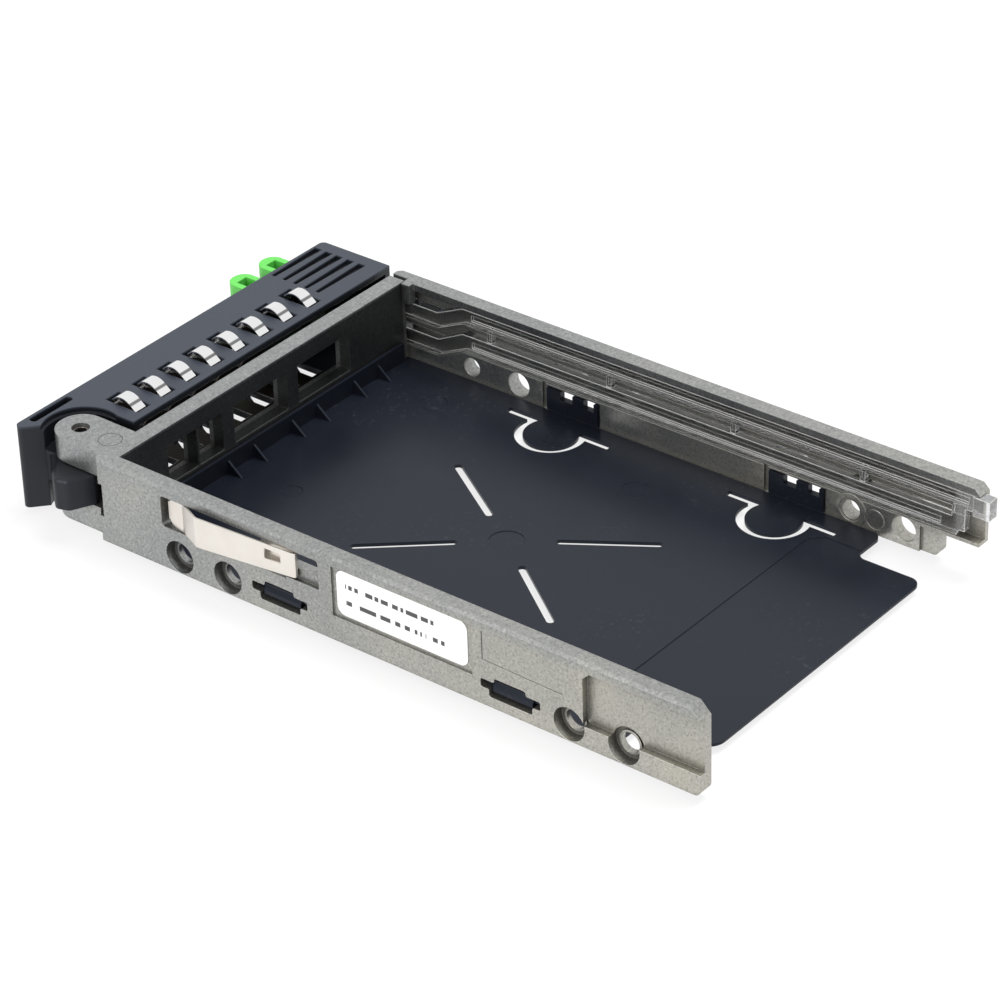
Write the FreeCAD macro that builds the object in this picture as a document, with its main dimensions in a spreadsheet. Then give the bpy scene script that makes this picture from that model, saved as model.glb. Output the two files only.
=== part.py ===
import FreeCAD, Part
import Sketcher
import math
import os

Vec = FreeCAD.Vector
doc = FreeCAD.newDocument("hot_swap_drive_caddy")
sheet = doc.addObject("Spreadsheet::Sheet", "Sizes")
cells = []


class Size:
    """A number together with the sheet formula that gives it."""

    def __init__(self, value, text):
        self.value = float(value)
        self.text = text

    def __add__(self, other):
        other = as_size(other)
        return Size(self.value + other.value, "(%s + %s)" % (self.text, other.text))

    def __radd__(self, other):
        return as_size(other) + self

    def __sub__(self, other):
        other = as_size(other)
        return Size(self.value - other.value, "(%s - %s)" % (self.text, other.text))

    def __rsub__(self, other):
        return as_size(other) - self

    def __mul__(self, other):
        other = as_size(other)
        return Size(self.value * other.value, "(%s * %s)" % (self.text, other.text))

    def __rmul__(self, other):
        return as_size(other) * self

    def __truediv__(self, other):
        other = as_size(other)
        return Size(self.value / other.value, "(%s / %s)" % (self.text, other.text))

    def __neg__(self):
        return Size(-self.value, "(0 - %s)" % self.text)


def as_size(number):
    if isinstance(number, Size):
        return number
    if number < 0:
        return Size(number, "(0 - %s)" % repr(-float(number)))
    return Size(number, repr(float(number)))


def size(name, value):
    """Writes one size in the sheet and hands back its term."""
    cells.append(name)
    row = len(cells)
    sheet.set("A%d" % row, name)
    sheet.set("B%d" % row, repr(float(value)))
    sheet.setAlias("B%d" % row, name)
    return Size(value, "Sizes." + name)


def cosine(angle):
    return Size(math.cos(math.radians(angle.value)), "cos(%s)" % angle.text)


def sine(angle):
    return Size(math.sin(math.radians(angle.value)), "sin(%s)" % angle.text)


# Frame casting: drive bay, rails and front wall
bay_half = size("bay_half", 35.1)
rail_wall = size("rail_wall", 2.65)
frame_height = size("frame_height", 15.0)
rail_end = size("rail_end", 117.0)
wall_front = size("wall_front", -0.6)
wall_back = size("wall_back", 2.5)
cast_corner = size("cast_corner", 0.7)
rail_top_slope = size("rail_top_slope", 0.45)
rear_top_cut = size("rear_top_cut", 1.85)
rear_far_cut = size("rear_far_cut", 1.1)
rear_low_cut = size("rear_low_cut", 1.2)
rail_out = bay_half + rail_wall

# Ears that hold the lever
pin_across = size("pin_across", 32.05)
pin_ahead = size("pin_ahead", -8.65)
pin_radius = size("pin_radius", 1.5)
ear_radius = size("ear_radius", 4.15)
ear_low_top = size("ear_low_top", 4.6)
ear_high_low = size("ear_high_low", 10.5)
ear_pocket_side = size("ear_pocket_side", 26.5)
ear_pocket_back = size("ear_pocket_back", 0.7)
ear_slant = size("ear_slant", 1.45)

# Drive screw holes, at the places that fit a 2.5 inch drive
hole_height = size("hole_height", 3.0)
hole_front = size("hole_front", 16.7)
hole_span = size("hole_span", 76.6)
hole_shift = size("hole_shift", 10.0)
hole_radius = size("hole_radius", 1.7)
hole_wide = size("hole_wide", 2.2)
bore_radius = size("bore_radius", 2.85)
bore_deep = size("bore_deep", 2.0)
bore_rim = size("bore_rim", 0.4)
boss_radius = size("boss_radius", 3.15)
boss_high = size("boss_high", 0.15)

# Windows of the front wall
wall_window_low = size("wall_window_low", 4.6)
wall_window_high = size("wall_window_high", 11.5)
wall_window_wide = size("wall_window_wide", 13.1)
wall_window_first = size("wall_window_first", 17.75)
wall_window_step = size("wall_window_step", 15.8)
wall_post = size("wall_post", 0.5)
wall_post_side = size("wall_post_side", 16.95)

# Near rail: spring window, clip windows, label field and rear field
spring_low = size("spring_low", 7.65)
spring_high = size("spring_high", 13.15)
spring_start = size("spring_start", 13.4)
spring_step = size("spring_step", 39.0)
spring_stop = size("spring_stop", 45.6)
spring_ledge = size("spring_ledge", 9.8)
spring_ledge_deep = size("spring_ledge_deep", 0.7)
leaf_thick = size("leaf_thick", 0.3)
leaf_end = size("leaf_end", 41.2)
clip_front = size("clip_front", 37.4)
clip_step = size("clip_step", 45.0)
label_start = size("label_start", 48.2)
label_stop = size("label_stop", 75.3)
label_low = size("label_low", 4.5)
label_high = size("label_high", 13.3)
label_deep = size("label_deep", 0.3)
field_start = size("field_start", 95.9)
field_low = size("field_low", 3.75)
field_high = size("field_high", 12.0)
field_deep = size("field_deep", 1.25)

# Far rail: channel for the light pipe
channel_low = size("channel_low", 5.3)
channel_high = size("channel_high", 13.7)
channel_wall = size("channel_wall", 0.8)
far_low_end = size("far_low_end", 109.5)
far_low_step = size("far_low_step", 106.2)
far_flange = size("far_flange", 0.6)
tab_half = size("tab_half", 5.55)
tab_high = size("tab_high", 4.9)
tab_front = size("tab_front", 38.05)
tab_step = size("tab_step", 44.85)
corner_slot = size("corner_slot", 0.9)
corner_post = size("corner_post", 1.0)

# Light pipe
pipe_thick = size("pipe_thick", 3.0)
pipe_drop = size("pipe_drop", 2.5)
pipe_front = size("pipe_front", -1.2)
pipe_end = size("pipe_end", 118.9)
bend_start = size("bend_start", 9.5)
bend_stop = size("bend_stop", 14.9)
upper_low = size("upper_low", 10.6)
lower_low = size("lower_low", 5.5)

# Tray
fit_gap = size("fit_gap", 0.3)
tray_thick = size("tray_thick", 0.6)
tray_end = size("tray_end", 111.8)
tray_notch = size("tray_notch", 99.5)
tray_tongue = size("tray_tongue", 27.5)
tray_lip = size("tray_lip", 4.0)
centre_across = size("centre_across", 1.05)
centre_along = size("centre_along", 52.6)
ray_in = size("ray_in", 8.5)
ray_out = size("ray_out", 24.0)
ray_half = size("ray_half", 0.65)
rays = [size("ray_one", 54.5), size("ray_two", 123.0), size("ray_three", 237.5),
        size("ray_four", 310.0)]
gusset_first = size("gusset_first", -20.4)
gusset_gap = size("gusset_gap", 9.5)

# Lever, shield and tongues
lever_front = size("lever_front", -17.8)
lever_back = size("lever_back", -2.9)
lever_skin = size("lever_skin", 1.2)
lever_shell_end = size("lever_shell_end", 25.9)
lever_far_wall = size("lever_far_wall", 1.2)
hub_gap = size("hub_gap", 0.15)
hub_radius = size("hub_radius", 4.0)
ear_cut = size("ear_cut", 6.1)
finger_pitch = size("finger_pitch", 6.0)
finger_first = size("finger_first", 21.8)
finger_wide = size("finger_wide", 2.4)
finger_slot = size("finger_slot", 3.1)
finger_radius = size("finger_radius", 2.75)
finger_centre = size("finger_centre", -8.2)
sheet_thick = size("sheet_thick", 0.2)
tongue_front = size("tongue_front", -25.0)
tongue_low = size("tongue_low", 2.5)
tongue_high = size("tongue_high", 12.5)
tongue_travel = size("tongue_travel", 1.2)
tongue_near_side = size("tongue_near_side", -20.3)
tongue_far_side = size("tongue_far_side", -32.5)
tongue_wide = size("tongue_wide", 4.7)
tongue_skin = size("tongue_skin", 1.2)
flange_low = size("flange_low", 3.2)
flange_high = size("flange_high", 11.8)
root_low = size("root_low", 5.2)
root_high = size("root_high", 9.0)
root_back = size("root_back", -12.2)
hook_wide = size("hook_wide", 1.7)
hook_tip = size("hook_tip", 0.9)
hook_a_side = size("hook_a_side", -25.0)
hook_a_low = size("hook_a_low", 8.7)
hook_a_high = size("hook_a_high", 11.7)
hook_b_side = size("hook_b_side", -34.2)
hook_b_low = size("hook_b_low", 6.0)
hook_b_high = size("hook_b_high", 10.0)
coil_along = size("coil_along", -14.2)
coil_up = size("coil_up", 7.1)
seat_deep = size("seat_deep", 0.8)
wire_radius = size("wire_radius", 0.2)
coil_radius = size("coil_radius", 1.2)
doc.recompute()


def body(name):
    made = doc.addObject("PartDesign::Body", name)
    made.Label = name
    doc.recompute()
    return made


def plane(owner, axis):
    role = {"X": "YZ_Plane", "Y": "XZ_Plane", "Z": "XY_Plane"}[axis]
    for feature in owner.Origin.OriginFeatures:
        if feature.Role == role:
            return feature


def circle(across, up, radius):
    return {"centre": (as_size(across), as_size(up)), "radius": as_size(radius)}


def arc(across, up, radius, left_turn):
    return {"centre": (as_size(across), as_size(up)), "radius": as_size(radius), "left": left_turn}


def rectangle(left, right, low, high):
    return [(left, low), (right, low), (right, high), (left, high)]


def loose(value):
    """A coordinate that follows from the arc it ends on."""
    return ("loose", float(value))


def number(coordinate):
    if isinstance(coordinate, tuple):
        return coordinate[1]
    return as_size(coordinate).value


def fix(sketch, kind, geometry, point, coordinate):
    if isinstance(coordinate, tuple):
        return
    term = as_size(coordinate)
    if term.text == "0.0":
        axis = -2 if kind == "DistanceX" else -1
        sketch.addConstraint(Sketcher.Constraint("PointOnObject", geometry, point, axis))
        return
    index = sketch.addConstraint(Sketcher.Constraint(kind, -1, 1, geometry, point, term.value))
    sketch.setExpression("Constraints[%d]" % index, term.text)


def draw_circle(sketch, ring):
    across, up = ring["centre"]
    centre = Vec(across.value, up.value, 0)
    shape = Part.Circle(centre, Vec(0, 0, 1), ring["radius"].value)
    index = sketch.addGeometry(shape, False)
    fix(sketch, "DistanceX", index, 3, across)
    fix(sketch, "DistanceY", index, 3, up)
    held = sketch.addConstraint(Sketcher.Constraint("Radius", index, ring["radius"].value))
    sketch.setExpression("Constraints[%d]" % held, ring["radius"].text)


def draw_loop(sketch, loop):
    corners = [item for item in loop if isinstance(item, tuple)]
    bends = {}
    count = 0
    for item in loop:
        if isinstance(item, tuple):
            count += 1
        else:
            bends[count - 1] = item
    ends = []
    for place in range(len(corners)):
        first = corners[place]
        second = corners[(place + 1) % len(corners)]
        start = Vec(number(first[0]), number(first[1]), 0)
        stop = Vec(number(second[0]), number(second[1]), 0)
        if place not in bends:
            index = sketch.addGeometry(Part.LineSegment(start, stop), False)
            ends.append((index, 1, 2))
            continue
        bend = bends[place]
        across, up = bend["centre"]
        centre = Vec(across.value, up.value, 0)
        ring = Part.Circle(centre, Vec(0, 0, 1), bend["radius"].value)
        one = math.atan2(start.y - centre.y, start.x - centre.x)
        two = math.atan2(stop.y - centre.y, stop.x - centre.x)
        if bend["left"]:
            index = sketch.addGeometry(Part.ArcOfCircle(ring, one, two), False)
            ends.append((index, 1, 2))
        else:
            index = sketch.addGeometry(Part.ArcOfCircle(ring, two, one), False)
            ends.append((index, 2, 1))
    for place in range(len(ends)):
        this = ends[place]
        after = ends[(place + 1) % len(ends)]
        sketch.addConstraint(Sketcher.Constraint("Coincident", this[0], this[2], after[0], after[1]))
    for place, bend in bends.items():
        index = ends[place][0]
        across, up = bend["centre"]
        fix(sketch, "DistanceX", index, 3, across)
        fix(sketch, "DistanceY", index, 3, up)
        held = sketch.addConstraint(Sketcher.Constraint("Radius", index, bend["radius"].value))
        sketch.setExpression("Constraints[%d]" % held, bend["radius"].text)
    for place in range(len(ends)):
        index, start_point, stop_point = ends[place]
        fix(sketch, "DistanceX", index, start_point, corners[place][0])
        fix(sketch, "DistanceY", index, start_point, corners[place][1])


def sketch_at(owner, label, axis, level, loops):
    sketch = owner.newObject("Sketcher::SketchObject", label + "_outline")
    sketch.Label = owner.Label + "_" + label + "_outline"
    sketch.AttachmentSupport = (plane(owner, axis), [""])
    sketch.MapMode = "FlatFace"
    level = as_size(level)
    if axis == "Y":
        level = -level
    sketch.setExpression("AttachmentOffset.Base.z", level.text)
    for loop in loops:
        if isinstance(loop, dict):
            draw_circle(sketch, loop)
        else:
            draw_loop(sketch, loop)
    return sketch


def add(owner, label, axis, start, stop, loops):
    """Material between two levels of one axis."""
    start = as_size(start)
    stop = as_size(stop)
    sketch = sketch_at(owner, label, axis, start, loops)
    made = owner.newObject("PartDesign::Pad", label)
    made.Label = owner.Label + "_" + label
    made.Profile = sketch
    made.setExpression("Length", (stop - start).text)
    made.Reversed = axis == "Y"
    doc.recompute()
    settle(made)
    return made


def cut(owner, label, axis, start, stop, loops):
    """An opening between two levels of one axis."""
    start = as_size(start)
    stop = as_size(stop)
    before = owner.Shape.Volume
    sketch = sketch_at(owner, label, axis, start if axis == "Y" else stop, loops)
    made = owner.newObject("PartDesign::Pocket", label)
    made.Label = owner.Label + "_" + label
    made.Profile = sketch
    made.setExpression("Length", (stop - start).text)
    doc.recompute()
    settle(made)
    if owner.Shape.Volume > before - 1e-4:
        raise RuntimeError(made.Label + " takes nothing away")
    return made


def settle(made):
    if "Up-to-date" not in made.State or made.Shape.isNull():
        raise RuntimeError(made.Label + " does not build: " + str(made.State))


def row(owner, made, label, axis, length, count):
    """Repeats a feature in a straight row."""
    role = {"X": "X_Axis", "Y": "Y_Axis", "Z": "Z_Axis"}[axis]
    line = [item for item in owner.Origin.OriginFeatures if item.Role == role][0]
    pattern = owner.newObject("PartDesign::LinearPattern", label)
    pattern.Label = owner.Label + "_" + label
    pattern.Originals = [made]
    pattern.Direction = (line, [""])
    length = as_size(length)
    if length.value < 0:
        pattern.Reversed = True
        length = -length
    pattern.setExpression("Length", length.text)
    pattern.Occurrences = count
    owner.Tip = pattern
    doc.recompute()
    settle(pattern)
    return pattern


def edges_where(shape, test):
    names = []
    for index, edge in enumerate(shape.Edges):
        ends = edge.Vertexes
        if len(ends) == 2 and test(ends[0].Point, ends[1].Point):
            names.append("Edge%d" % (index + 1))
    return names


def near(one, two):
    return abs(one - as_size(two).value) < 0.02


def soften(owner, label, kind, amount, test):
    """Rounds or slopes the edges picked by where they run."""
    base = owner.Tip
    names = edges_where(base.Shape, test)
    if not names:
        raise RuntimeError(label + " finds no edge")
    made = owner.newObject("PartDesign::" + kind, label)
    made.Label = owner.Label + "_" + label
    made.Base = (base, names)
    made.setExpression("Radius" if kind == "Fillet" else "Size", as_size(amount).text)
    doc.recompute()
    settle(made)
    return made


def upright(one, two, across, along):
    """True for a vertical edge at a place in plan."""
    level = abs(one.x - two.x) < 0.01 and abs(one.y - two.y) < 0.01
    return level and near(one.x, across) and near(one.y, along)


def through_wall(one, two, along, up):
    """True for an edge that runs straight across a rail wall."""
    level = abs(one.y - two.y) < 0.01 and abs(one.z - two.z) < 0.01
    return level and near(one.y, along) and near(one.z, up)


# Frame: one zinc casting with two rails, the front wall and the lever's ears
frame = body("frame")
ear_in = pin_across - ear_radius
ear_out = pin_across + ear_radius
add(frame, "rails", "Z", 0, frame_height, [[
    (-rail_out, wall_front),
    (ear_in, wall_front),
    (ear_in, -ear_slant),
    (ear_out, -ear_slant),
    (rail_out, 0),
    (rail_out, rail_end),
    (bay_half, rail_end),
    (bay_half, wall_back),
    (-bay_half, wall_back),
    (-bay_half, rail_end),
    (-rail_out, rail_end),
]])
add(frame, "ears", "Z", 0, frame_height, [[
    (loose(ear_in.value), pin_ahead),
    arc(pin_across, pin_ahead, ear_radius, True),
    (loose(ear_out.value), pin_ahead),
    (ear_out, 0),
    (ear_in, 0),
]])
cut(frame, "cam_room", "Z", ear_low_top, ear_high_low, [
    rectangle(ear_pocket_side, rail_out + 1, -15, ear_pocket_back)])
cut(frame, "pin_hole", "Z", -1, frame_height + 1, [circle(pin_across, pin_ahead, pin_radius)])
soften(frame, "far_front_slope", "Chamfer", cast_corner,
       lambda one, two: upright(one, two, -rail_out, wall_front))

# Windows of the front wall, with the thin post in the first
window_loops = []
for place in range(3):
    middle = wall_window_first - wall_window_step * place
    left = middle - wall_window_wide / 2
    right = middle + wall_window_wide / 2
    if place == 0:
        post = wall_post_side
        window_loops.append(rectangle(left, post, wall_window_low, wall_window_high))
        window_loops.append(rectangle(post + wall_post, right, wall_window_low, wall_window_high))
    else:
        window_loops.append(rectangle(left, right, wall_window_low, wall_window_high))
cut(frame, "wall_windows", "Y", wall_front - 1, wall_back + 1, window_loops)

# Pocket in front of the wall where the tongue hooks reach in
cut(frame, "hook_pockets", "Y", wall_front - 1, wall_back - 1.0, [
    rectangle(side - travel_low - fit_gap, side + hook_wide + travel_high + fit_gap,
              low - fit_gap, high + fit_gap)
    for side, low, high, travel_low, travel_high in (
        (hook_a_side, hook_a_low, hook_a_high, tongue_travel, as_size(0.0)),
        (hook_b_side, hook_b_low, hook_b_high, as_size(0.0), tongue_travel))])

# Drive screw holes of both rails
hole_rows = [hole_front, hole_front + hole_shift, hole_front + hole_span,
             hole_front + hole_span + hole_shift]
cut(frame, "near_bores", "X", rail_out - bore_deep, rail_out + 1,
    [circle(place, hole_height, bore_radius) for place in hole_rows])
add(frame, "bore_rims", "X", rail_out - bore_deep - 0.1, rail_out - bore_deep + bore_rim,
    [circle(place, hole_height, hole_radius + bore_rim) for place in hole_rows])
cut(frame, "near_holes", "X", bay_half - 1, rail_out + 1,
    [circle(place, hole_height, hole_radius) for place in hole_rows])
cut(frame, "far_holes", "X", -rail_out - 1, -bay_half + 1, [
    circle(hole_rows[0], hole_height, hole_radius),
    circle(hole_rows[1], hole_height, hole_wide),
    circle(hole_rows[2], hole_height, hole_radius),
    circle(hole_rows[3], hole_height, hole_wide),
])

# Near rail: window of the leaf spring with its ledge, and the pocket for the spring's foot
cut(frame, "spring_window", "X", bay_half - 1, rail_out + 1, [[
    (spring_start, spring_low),
    (spring_step, spring_low),
    (spring_step, spring_ledge),
    (spring_stop, spring_ledge),
    (spring_stop, spring_high),
    (spring_start, spring_high),
]])
soften(frame, "spring_window_round", "Fillet", 0.6, lambda one, two: (
    through_wall(one, two, spring_start, spring_low)
    or through_wall(one, two, spring_start, spring_high)
    or through_wall(one, two, spring_stop, spring_ledge)
    or through_wall(one, two, spring_stop, spring_high)))
cut(frame, "spring_ledge_field", "X", rail_out - spring_ledge_deep, rail_out + 1, [
    rectangle(spring_step - 0.5, spring_stop, spring_low + 0.35, spring_ledge + 0.5)])
cut(frame, "spring_foot_pocket", "X", bay_half - 1, bay_half + 0.55, [
    rectangle(7.6, spring_start + 0.5, 8.7, 12.5)])

# Near rail: cross-shaped windows for the tray's clips
clip_loops = []
for place in range(2):
    middle = clip_front + clip_step * place
    clip_loops.append([
        (middle - 4.0, 1.8), (middle + 4.1, 1.8), (middle + 4.1, 3.1), (middle + 5.6, 3.1),
        (middle + 5.6, 4.6), (middle + 2.9, 4.6), (middle + 2.9, 5.4), (middle - 3.0, 5.4),
        (middle - 3.0, 4.6), (middle - 5.6, 4.6), (middle - 5.6, 3.1), (middle - 4.0, 3.1),
    ])
cut(frame, "clip_windows", "X", bay_half - 1, rail_out + 1, clip_loops)
soften(frame, "clip_window_round", "Fillet", 0.35, lambda one, two: (
    near(one.y, two.y) and near(one.z, two.z) and abs(one.x - two.x) > 2
    and one.x + two.x > 0 and 1.7 < one.z < 5.5
    and min(abs(one.y - clip_front.value), abs(one.y - clip_front.value - clip_step.value)) < 5.8))

# Near rail: sunk field for the label and the raised rear field
cut(frame, "label_field", "X", rail_out - label_deep, rail_out + 1, [
    rectangle(label_start, label_stop, label_low, label_high)])
cut(frame, "rear_field", "X", rail_out - field_deep, rail_out + 1, [[
    (field_start, field_low),
    (rail_end + 1, field_low),
    (rail_end + 1, field_high + 1.2),
    (field_start + 1.2, field_high + 1.2),
    (field_start, field_high),
]])

# Far rail: channel for the light pipe, open to the bay and to the rear
cut(frame, "pipe_channel", "X", -rail_out + channel_wall, -bay_half, [[
    (wall_front - 1, channel_low - pipe_drop),
    (bend_start, channel_low - pipe_drop),
    (bend_stop, channel_low),
    (rail_end + 1, channel_low),
    (rail_end + 1, channel_high),
    (wall_front - 1, channel_high),
]])
cut(frame, "far_low_end", "X", -rail_out - 1, -bay_half + 1, [
    rectangle(far_low_end, rail_end + 1, -1, channel_low - far_flange)])
soften(frame, "far_low_round", "Fillet", 1.0, lambda one, two: (
    through_wall(one, two, far_low_end, 0)))
cut(frame, "far_low_step", "X", -bay_half - 0.5, -bay_half + 1, [
    rectangle(far_low_step, far_low_end + 1, -1, channel_low - far_flange)])
cut(frame, "tab_windows", "X", -rail_out - 1, -bay_half + 1, [
    rectangle(tab_front - tab_half, tab_front + tab_half, -1, tab_high),
    rectangle(tab_front + tab_step - tab_half, tab_front + tab_step + tab_half, -1, tab_high),
])
cut(frame, "tab_grooves", "X", -bay_half - 0.5, -bay_half + 1, [
    rectangle(tab_front - tab_half - 0.8, tab_front - tab_half, -1, channel_low),
    rectangle(tab_front + tab_step - tab_half - 0.8, tab_front + tab_step - tab_half, -1,
              channel_low),
])

# Narrow slot through the far front corner, with a short post behind it
cut(frame, "corner_slot", "Z", channel_high - 1, frame_height + 1, [
    rectangle(-bay_half - corner_slot, -bay_half, wall_front - 1, wall_back + 0.1)])
add(frame, "corner_post", "Z", 11.4, frame_height, [
    rectangle(-bay_half - 0.5, -bay_half + corner_post, wall_back + 0.2, wall_back + 1.9)])

# Small marks of the mould: rings round a hole, on an ear and between the holes, a thin line
add(frame, "hole_boss", "X", -bay_half - 0.2, -bay_half + boss_high, [
    circle(hole_rows[2], hole_height, boss_radius - 0.2),
    circle(hole_rows[2], hole_height, hole_radius + 0.4),
])
cut(frame, "far_mark", "X", -bay_half - 0.08, -bay_half + 1, [
    circle(hole_rows[2] + 4.6, hole_height - 0.2, 1.85),
    circle(hole_rows[2] + 4.6, hole_height - 0.2, 1.7),
])
cut(frame, "ear_mark", "Z", frame_height - 0.08, frame_height + 1, [
    circle(pin_across, -2.2, 2.0),
    circle(pin_across, -2.2, 1.85),
])
cut(frame, "thin_line", "X", rail_out - 0.12, rail_out + 1, [[
    (77.2, 8.0),
    (92.3, 7.7),
    (92.3, 7.85),
    (77.4, 8.15),
    (77.4, 13.1),
    (77.2, 13.1),
]])

# Rail ends: sloped corners
soften(frame, "rear_top_slope", "Chamfer", rear_top_cut, lambda one, two: (
    through_wall(one, two, rail_end, frame_height) and one.x > 0))
soften(frame, "rear_far_slope", "Chamfer", rear_far_cut, lambda one, two: (
    through_wall(one, two, rail_end, frame_height) and one.x < 0))
soften(frame, "rear_low_round", "Fillet", rear_low_cut, lambda one, two: (
    through_wall(one, two, rail_end, 0) and one.x > 0))
soften(frame, "rail_top_slope", "Chamfer", rail_top_slope, lambda one, two: (
    near(one.x, rail_out) and near(two.x, rail_out)
    and near(one.z, frame_height) and near(two.z, frame_height)
    and abs(one.y - two.y) > 50))

# Pin: a rolled steel pin through both ears, hollow
pin = body("hinge_pin")
add(pin, "tube", "Z", 0.5, frame_height - 0.6, [
    circle(pin_across, pin_ahead, pin_radius - 0.01),
    circle(pin_across, pin_ahead, pin_radius - 0.5),
])
cut(pin, "split", "Z", 0, frame_height, [
    rectangle(pin_across - 0.15, pin_across + 0.15, pin_ahead, pin_ahead + pin_radius + 0.5)])

# Label: blank paper on the sunk field
label = body("label")
add(label, "paper", "X", rail_out - label_deep, rail_out - label_deep + 0.12, [
    rectangle(label_start + 0.9, label_stop - 0.9, label_low + 0.7, label_high - 0.1)])
soften(label, "paper_corners", "Fillet", 1.5, lambda one, two: (
    abs(one.x - two.x) > 0.05))

# Light pipe: two clear bars joined by webs, one moulding
pipe = body("light_pipe")
pipe_out = -rail_out + channel_wall + 0.05
pipe_in = -bay_half - 0.05
add(pipe, "upper_bar", "X", pipe_out, pipe_in, [[
    (pipe_front, upper_low - pipe_drop),
    (bend_start, upper_low - pipe_drop),
    (bend_stop, upper_low),
    (pipe_end, upper_low),
    (pipe_end, upper_low + pipe_thick),
    (bend_stop, upper_low + pipe_thick),
    (bend_start, upper_low + pipe_thick - pipe_drop),
    (pipe_front, upper_low + pipe_thick - pipe_drop),
]])
add(pipe, "lower_bar", "X", pipe_out, pipe_in, [[
    (pipe_front, lower_low - pipe_drop),
    (bend_start, lower_low - pipe_drop),
    (bend_stop, lower_low),
    (112.8, lower_low),
    (114.3, lower_low + pipe_thick + 0.2),
    (bend_stop, lower_low + pipe_thick + 0.2),
    (bend_start, lower_low + pipe_thick - pipe_drop),
    (pipe_front, lower_low + pipe_thick - pipe_drop),
]])
web = add(pipe, "first_web", "X", pipe_out + 0.4, pipe_in - 0.3, [
    rectangle(19.9, 20.9, lower_low + 1, upper_low + 1)])
row(pipe, web, "webs", "Y", 74.7, 4)
add(pipe, "end_web", "X", pipe_out + 0.4, pipe_in, [
    rectangle(111.9, 114.3, lower_low + 1, upper_low + 1)])
add(pipe, "end_block", "X", pipe_out, pipe_in + 0.4, [
    rectangle(pipe_end - 3.0, pipe_end, upper_low - 0.4, upper_low + pipe_thick)])
cut(pipe, "upper_groove", "X", pipe_in - 0.5, pipe_in + 1, [
    rectangle(bend_stop + 2, pipe_end - 4, upper_low + 1.2, upper_low + 2.3)])
cut(pipe, "lower_groove", "X", pipe_in - 0.5, pipe_in + 1, [
    rectangle(bend_stop + 2, pipe_end - 9, lower_low + 1.1, lower_low + 2.2)])

# Side leaf spring: one bent steel strip through the window of the near rail
leaf = body("side_leaf_spring")
leaf_in = bay_half + 0.1
add(leaf, "strip", "Z", 7.75, 13.05, [[
    (leaf_in, 8.0),
    (leaf_in + leaf_thick, 8.0),
    (leaf_in + leaf_thick, spring_start + 0.1),
    (rail_out - 0.7, spring_start + 1.0),
    (rail_out - 0.3, 17.7),
    (rail_out + 1.6, 22.0),
    (rail_out + 0.3, leaf_end),
    (rail_out - 0.7, leaf_end),
    (rail_out - 0.55, 34.0),
    (rail_out - 0.25, 34.0),
    (rail_out - 0.37, leaf_end - 0.35),
    (rail_out + 0.05, leaf_end - 0.35),
    (rail_out + 1.3, 22.1),
    (rail_out - 0.57, 18.0),
    (rail_out - 1.0, spring_start + 1.3),
    (leaf_in, spring_start + 0.35),
]])
soften(leaf, "bends", "Fillet", 1.2, lambda one, two: (
    upright(one, two, rail_out + 1.6, 22.0) or upright(one, two, rail_out + 1.3, 22.1)
    or upright(one, two, rail_out - 0.3, 17.7) or upright(one, two, rail_out - 0.57, 18.0)))
soften(leaf, "fold", "Fillet", 0.45, lambda one, two: (
    upright(one, two, rail_out + 0.3, leaf_end) or upright(one, two, rail_out - 0.7, leaf_end)))
cut(leaf, "taper", "X", leaf_in - 1, rail_out + 3, [
    [(7.0, 7.0), (45.0, 7.0), (45.0, 8.7), (leaf_end, 8.6), (23.0, 7.75), (17.0, 7.75),
     (15.2, 8.2), (14.6, 9.0), (7.0, 9.0)],
    [(7.0, 13.5), (7.0, 12.2), (14.6, 12.2), (15.2, 12.7), (17.0, 13.05), (23.0, 13.05),
     (leaf_end, 12.9), (45.0, 12.9), (45.0, 13.5)],
])
cut(leaf, "arm_hole", "X", rail_out - 0.1, rail_out + 3, [rectangle(35.4, 38.5, 10.3, 12.1)])

# Tray: thin moulded floor with clips, tabs and a front lip
tray = body("tray")
tray_side = bay_half - fit_gap
add(tray, "floor", "Z", 0, tray_thick, [[
    (-tray_side, wall_back + fit_gap),
    (tray_side, wall_back + fit_gap),
    (tray_side, tray_notch),
    (tray_tongue, tray_notch),
    (tray_tongue, tray_end),
    (-tray_tongue, tray_end),
    (-tray_tongue, tray_notch),
    (-tray_side, tray_notch),
]])
soften(tray, "notch_corners", "Fillet", 1.6, lambda one, two: (
    upright(one, two, tray_side, tray_notch) or upright(one, two, tray_tongue, tray_notch)
    or upright(one, two, -tray_side, tray_notch) or upright(one, two, -tray_tongue, tray_notch)))
soften(tray, "far_corner", "Fillet", 2.0, lambda one, two: (
    upright(one, two, -tray_tongue, tray_end)))
soften(tray, "near_corner", "Fillet", 3.0, lambda one, two: (
    upright(one, two, tray_tongue, tray_end)))


def omega(side, along):
    """A thin slot that runs along the rail and round a half circle."""
    centre = -28.9 * side
    line_in = -30.2 * side
    line_out = -31.6 * side
    wide = math.sqrt(6.1 * 6.1 - 1.3 * 1.3)
    narrow = math.sqrt(4.7 * 4.7 - 2.7 * 2.7)
    turn = side > 0
    return [
        (line_in, along - 10.5),
        (line_in, loose(along.value - wide)),
        arc(centre, along, 6.1, turn),
        (line_in, loose(along.value + wide)),
        (line_in, along + 10.5),
        (line_out, along + 10.5),
        (line_out, loose(along.value + narrow)),
        arc(centre, along, 4.7, not turn),
        (line_out, loose(along.value - narrow)),
        (line_out, along - 10.5),
    ]


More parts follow.
